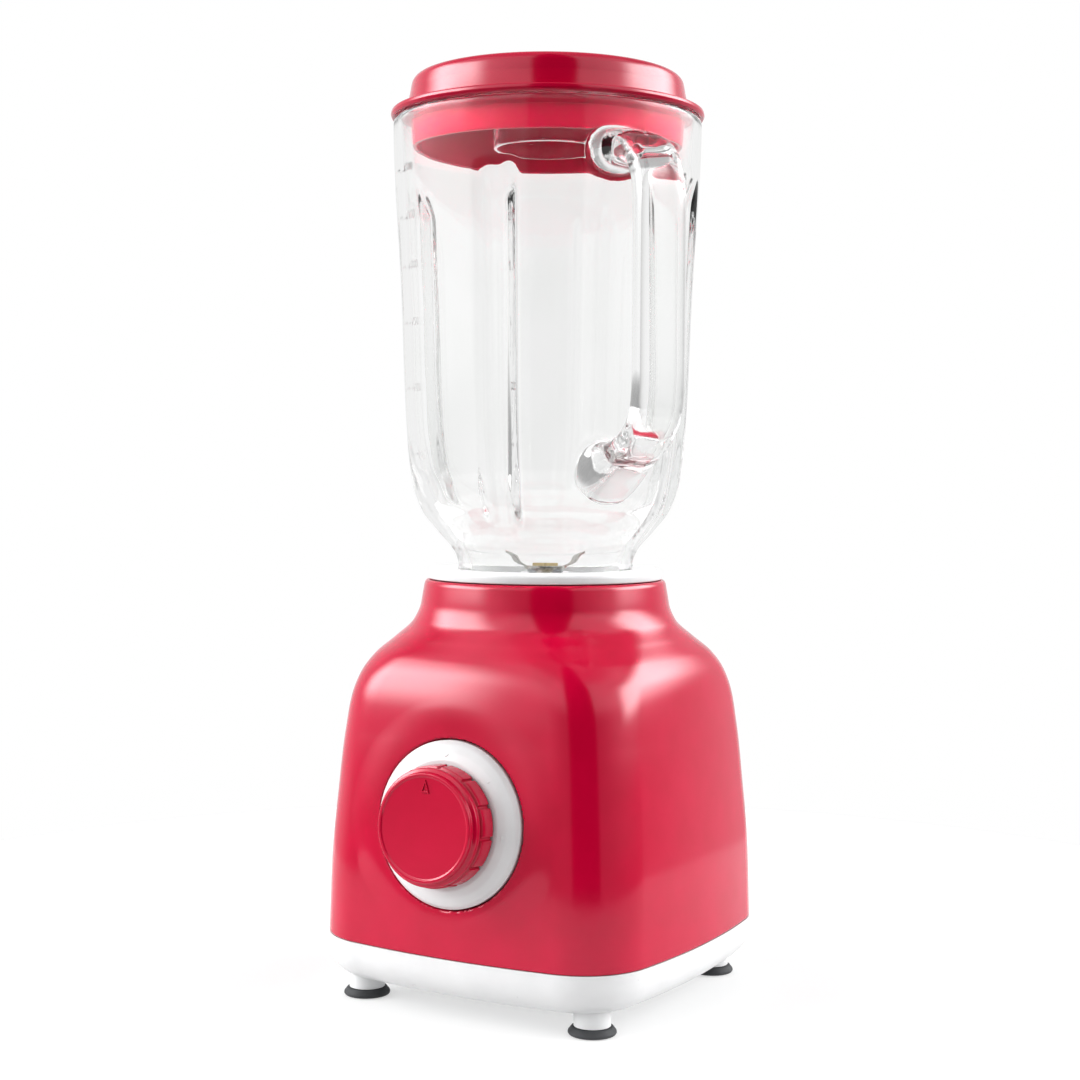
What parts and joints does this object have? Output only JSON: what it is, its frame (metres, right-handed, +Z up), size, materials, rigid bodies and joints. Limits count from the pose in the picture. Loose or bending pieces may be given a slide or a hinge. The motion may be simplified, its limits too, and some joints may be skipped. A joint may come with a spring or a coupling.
{
  "type": "countertop blender",
  "caption": "Countertop blender: round-shouldered motor base with a dial, fluted glass jar with a loop handle, lid with a measuring cap.",
  "frame": {"origin": "on the surface it stands on, under the drive axis that the motor, blades and jar share", "axes": "+Z up along the drive axis, -Y towards the control knob, +X to the right of a person facing the knob"},
  "size_m": [0.1756, 0.1837, 0.4002],
  "materials": {
    "red_plastic": "moulded, high gloss red",
    "white_plastic": "moulded, satin gloss white",
    "jar_glass": "clear pressed glass",
    "clear_plastic": "clear moulded plastic",
    "foot_rubber": "dark grey rubber",
    "seal_silicone": "pale silicone",
    "blade_steel": "ground stainless steel",
    "plain_steel": "bright steel",
    "motor_steel": "stacked electrical steel",
    "copper": "enamelled copper wire",
    "brass": "drawn brass",
    "carbon": "pressed carbon",
    "black_plastic": "black glass-filled nylon",
    "grey_plastic": "grey technical plastic"
  },
  "bodies": {
    "base": {"housing": "red_plastic", "base_tray": "white_plastic", "rubber_feet": "foot_rubber", "tray_screws": "plain_steel", "cord_grommet": "black_plastic", "terminal_block": "grey_plastic", "jar_seat": "white_plastic", "seat_screws": "plain_steel", "dial_ring": "white_plastic", "switch_nut": "plain_steel", "rotary_switch": "black_plastic", "motor_stator": "motor_steel", "field_coils": "copper", "lower_bearing": "plain_steel", "upper_bearing": "plain_steel", "lower_bracket": "plain_steel", "upper_bracket": "plain_steel", "brush_holders": "brass", "carbon_brushes": "carbon", "brush_springs": "plain_steel", "motor_dampers": "foot_rubber", "motor_screws": "plain_steel"},
    "jar": {"jar": "jar_glass", "jar_collar": "white_plastic", "jar_gasket": "seal_silicone", "blade_base": "white_plastic", "blade_bushing": "brass", "shaft_seal": "foot_rubber"},
    "blades": {"lower_blade": "blade_steel", "upper_blade": "blade_steel", "blade_washer": "plain_steel", "blade_nut": "brass", "blade_shaft": "plain_steel", "jar_coupling": "black_plastic"},
    "lid": {"lid": "red_plastic"},
    "cap": {"measuring_cap": "clear_plastic"},
    "knob": {"knob": "red_plastic", "switch_shaft": "grey_plastic"},
    "rotor": {"motor_shaft": "plain_steel", "armature_core": "motor_steel", "armature_windings": "copper", "commutator": "copper", "cooling_fan": "black_plastic", "motor_coupling": "black_plastic"}
  },
  "joints": [
    {"name": "knob_turn", "type": "hinge", "parent": "base", "child": "knob", "pos_m": [0, -0.07658, 0.0828], "axis": [0, -0.9968, 0.0802], "range_deg": [-95, 45]},
    {"name": "motor_spin", "type": "hinge", "parent": "base", "child": "rotor", "pos_m": [0, 0, 0.08], "axis": [0, 0, 1], "continuous": true},
    {"name": "jar_lift", "type": "slide", "parent": "base", "child": "jar", "axis": [0, 0, 1], "range_m": [0, 0.06]},
    {"name": "blade_spin", "type": "hinge", "parent": "jar", "child": "blades", "pos_m": [0, 0, 0.185], "axis": [0, 0, 1], "continuous": true},
    {"name": "lid_lift", "type": "slide", "parent": "jar", "child": "lid", "axis": [0, 0, 1], "range_m": [0, 0.05]},
    {"name": "cap_lift", "type": "slide", "parent": "lid", "child": "cap", "axis": [0, 0, 1], "range_m": [0, 0.045]}
  ],
  "couplings": [
    {"joint": "blade_spin", "follows": "motor_spin", "ratio": 1}
  ]
}
